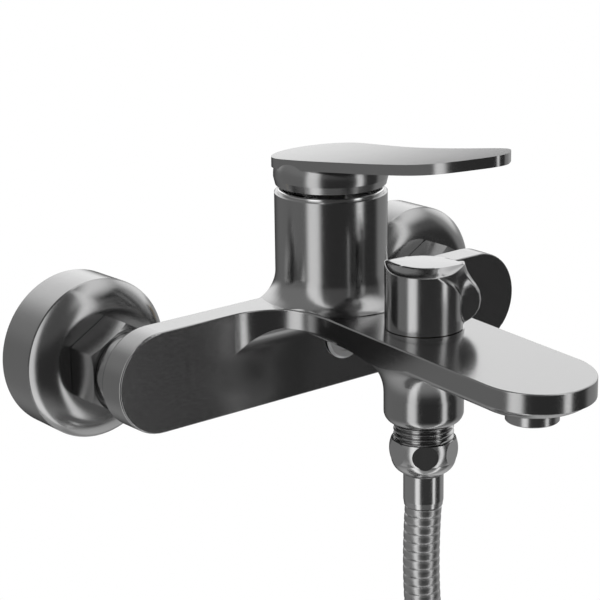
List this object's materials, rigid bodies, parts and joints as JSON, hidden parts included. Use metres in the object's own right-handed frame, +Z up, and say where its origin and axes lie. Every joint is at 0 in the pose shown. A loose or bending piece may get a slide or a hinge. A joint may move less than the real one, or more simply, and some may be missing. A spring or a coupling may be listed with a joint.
{
  "type": "wall mounted bath mixer tap",
  "caption": "Single lever wall mounted bath mixer with a flat spout, diverter knob, wall covers and a ribbed shower hose.",
  "frame": {"origin": "on the finished wall, midway between the two inlets, at the height of the mixer's inlet axes", "axes": "+Z up, +Y into the wall, -Y along the spout away from the wall, +X to the right as seen facing the wall"},
  "size_m": [0.2383, 0.1913, 0.3593],
  "materials": {
    "body_metal": "fine brushed dark grey plating",
    "handle_metal": "fine brushed dark grey plating",
    "knob_metal": "fine brushed dark grey plating",
    "nut_metal": "bright dark grey plating",
    "cover_metal": "fine brushed dark grey plating on a spun steel cover",
    "plain_brass": "as machined",
    "trim_metal": "bright dark grey plating",
    "hose_fitting_metal": "dark grey plating",
    "hose_metal": "ribbed metal hose, dark grey",
    "tie_plastic": "soft strap",
    "steel": "plain steel",
    "seal_rubber": "matt rubber",
    "cartridge_plastic": "moulded, light grey",
    "disc_ceramic": "lapped ceramic",
    "plug_metal": "bright dark grey plating",
    "aerator_metal": "dark grey plating",
    "aerator_plastic": "moulded grid",
    "index_plastic": "plain cap"
  },
  "bodies": {
    "mixer_body": {"body_casting": "body_metal", "union_nut_left": "nut_metal", "union_nut_right": "nut_metal", "retaining_ring_left": "steel", "retaining_ring_right": "steel", "filter_washer_left": "seal_rubber", "filter_washer_right": "seal_rubber", "eccentric_union_left": "plain_brass", "eccentric_union_right": "plain_brass", "escutcheon_left": "cover_metal", "escutcheon_right": "cover_metal", "base_seals": "seal_rubber", "cartridge_base": "cartridge_plastic", "ceramic_disc_fixed": "disc_ceramic", "cartridge_housing": "cartridge_plastic", "cartridge_nut": "plain_brass", "trim_ring": "trim_metal", "diverter_gland": "plain_brass", "gland_seal": "seal_rubber", "front_plug": "plug_metal", "front_plug_seal": "seal_rubber", "outlet_nipple": "body_metal", "hose_washer": "seal_rubber", "hose_nut": "hose_fitting_metal", "hose_insert": "plain_brass", "hose_ferrule": "hose_fitting_metal", "shower_hose": "hose_metal", "hose_coil": "hose_metal", "hose_tail": "hose_metal", "hose_tie": "tie_plastic", "hose_end_insert": "plain_brass", "hose_end_ferrule": "hose_fitting_metal", "hose_end_washer": "seal_rubber", "aerator_shell": "aerator_metal", "aerator_insert": "aerator_plastic", "aerator_washer": "seal_rubber"},
    "stem_carrier": {"stem_carrier": "cartridge_plastic", "pivot_pin": "steel"},
    "lever": {"lever_stem": "steel", "handle": "handle_metal", "handle_set_screw": "steel", "index_plug": "index_plastic"},
    "mixing_disc": {"ceramic_disc_moving": "disc_ceramic"},
    "diverter": {"diverter_knob": "knob_metal", "diverter_spindle": "plain_brass", "diverter_drum": "plain_brass", "knob_set_screw": "steel"},
    "hose_end": {"hose_end_nut": "hose_fitting_metal"}
  },
  "joints": [
    {"name": "handle_turn", "type": "hinge", "parent": "mixer_body", "child": "stem_carrier", "pos_m": [0, -0.0552, 0.045], "axis": [0, 0, 1], "range_deg": [-45, 45]},
    {"name": "handle_lift", "type": "hinge", "parent": "stem_carrier", "child": "lever", "pos_m": [0, -0.0552, 0.038], "axis": [-1, 0, 0], "range_deg": [0, 22]},
    {"name": "mixing_disc_slide", "type": "slide", "parent": "stem_carrier", "child": "mixing_disc", "axis": [0, -1, 0], "range_m": [0, 0.0025]},
    {"name": "diverter_turn", "type": "hinge", "parent": "mixer_body", "child": "diverter", "pos_m": [0, -0.1036, 0.02], "axis": [0, 0, 1], "range_deg": [-90, 0]},
    {"name": "hose_nut_swivel", "type": "hinge", "parent": "mixer_body", "child": "hose_end", "pos_m": [0.033, -0.07543, -0.121], "axis": [1, 0, 0], "continuous": true}
  ],
  "couplings": [
    {"joint": "mixing_disc_slide", "follows": "handle_lift", "m_per_rad": 0.006}
  ]
}
